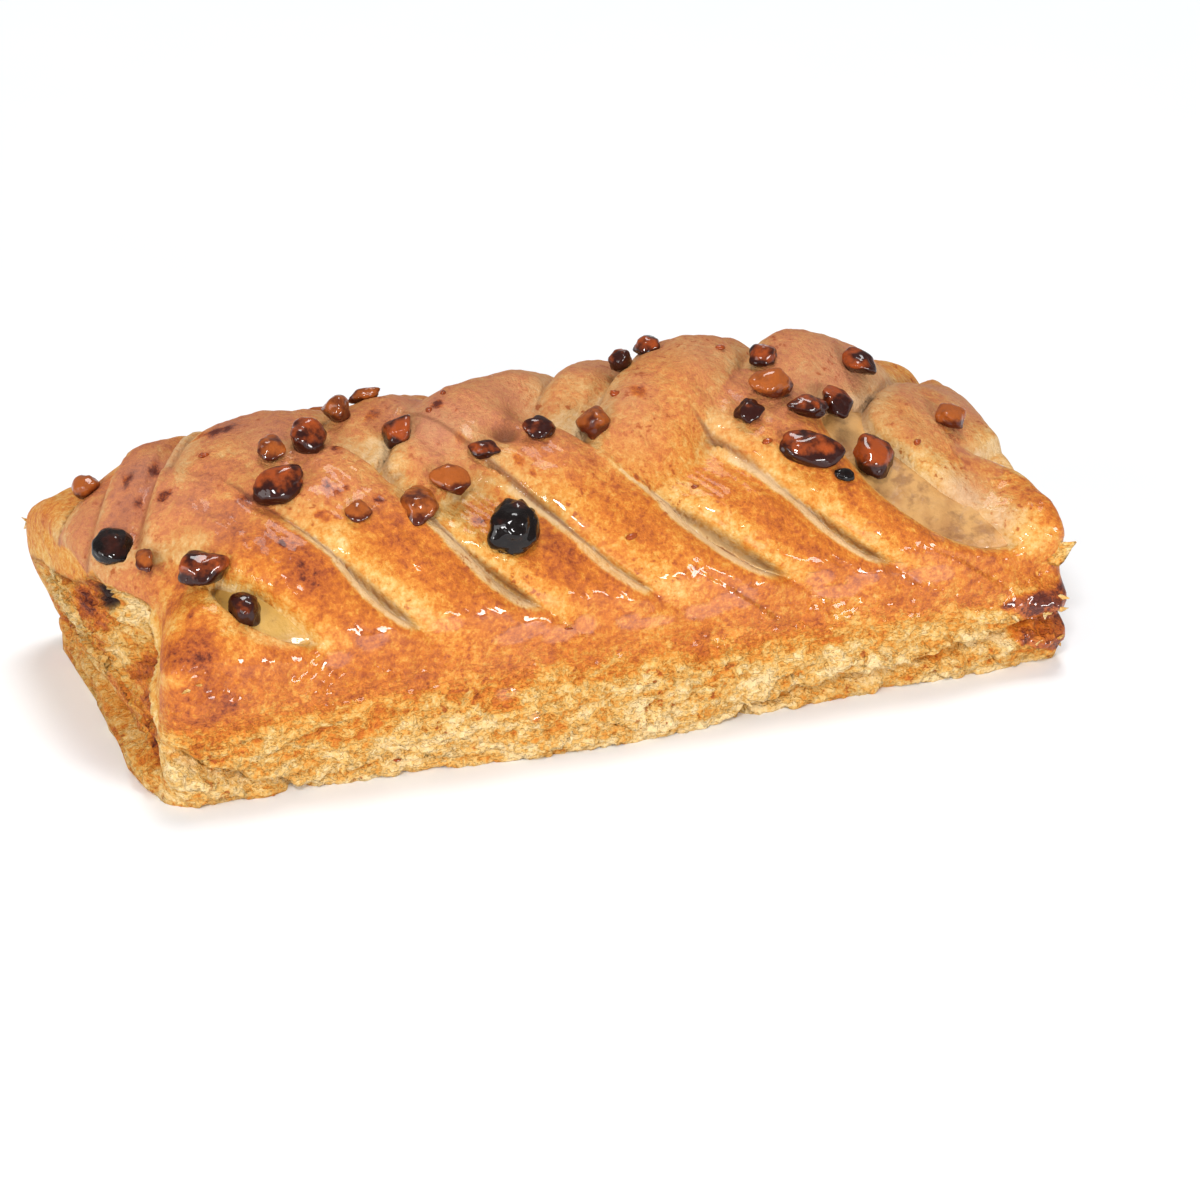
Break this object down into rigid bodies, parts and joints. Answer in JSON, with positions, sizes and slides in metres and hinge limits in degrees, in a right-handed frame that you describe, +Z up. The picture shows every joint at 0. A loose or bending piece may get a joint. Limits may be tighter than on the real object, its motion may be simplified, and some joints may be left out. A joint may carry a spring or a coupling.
{
  "type": "puff pastry braid",
  "caption": "Baked puff pastry braid: strips of glazed flaky dough folded across a nut filling that shows in the slits, strewn with caramelised nut pieces.",
  "frame": {"origin": "under the middle of the braid's bounding box, on the surface it stands on", "axes": "+X along the braid towards the end with the widest open slit, +Z up, -Y the long side that faces the camera"},
  "size_m": [0.1396, 0.063, 0.0445],
  "materials": {
    "crust": "golden brown baked puff pastry, flaky at the walls, syrup glaze along the shoulders",
    "filling": "moist pale nut paste with dark specks",
    "nut_honey": "honey-coloured glazed nut",
    "nut_brown": "red-brown caramelised nut",
    "nut_burnt": "nearly black caramelised nut"
  },
  "bodies": {
    "root": {"pastry": "crust", "filling": "filling", "nut_01": "nut_honey", "nut_02": "nut_burnt", "nut_03": "nut_honey", "nut_04": "nut_brown", "nut_05": "nut_brown", "nut_06": "nut_brown", "nut_07": "nut_brown", "nut_08": "nut_honey", "nut_09": "nut_honey", "nut_10": "nut_honey", "nut_11": "nut_brown", "nut_12": "nut_honey", "nut_13": "nut_honey", "nut_14": "nut_honey", "nut_15": "nut_brown", "nut_16": "nut_burnt", "nut_17": "nut_brown", "nut_18": "nut_honey", "nut_19": "nut_brown", "nut_20": "nut_brown", "nut_21": "nut_brown", "nut_22": "nut_honey", "nut_23": "nut_brown", "nut_24": "nut_brown", "nut_25": "nut_brown", "nut_26": "nut_brown", "nut_27": "nut_brown", "nut_28": "nut_brown", "nut_29": "nut_burnt", "nut_30": "nut_honey", "nut_31": "nut_honey", "nut_32": "nut_honey", "nut_33": "nut_brown", "nut_34": "nut_honey", "nut_35": "nut_burnt", "nut_36": "nut_honey", "nut_37": "nut_brown"}
  },
  "joints": []
}
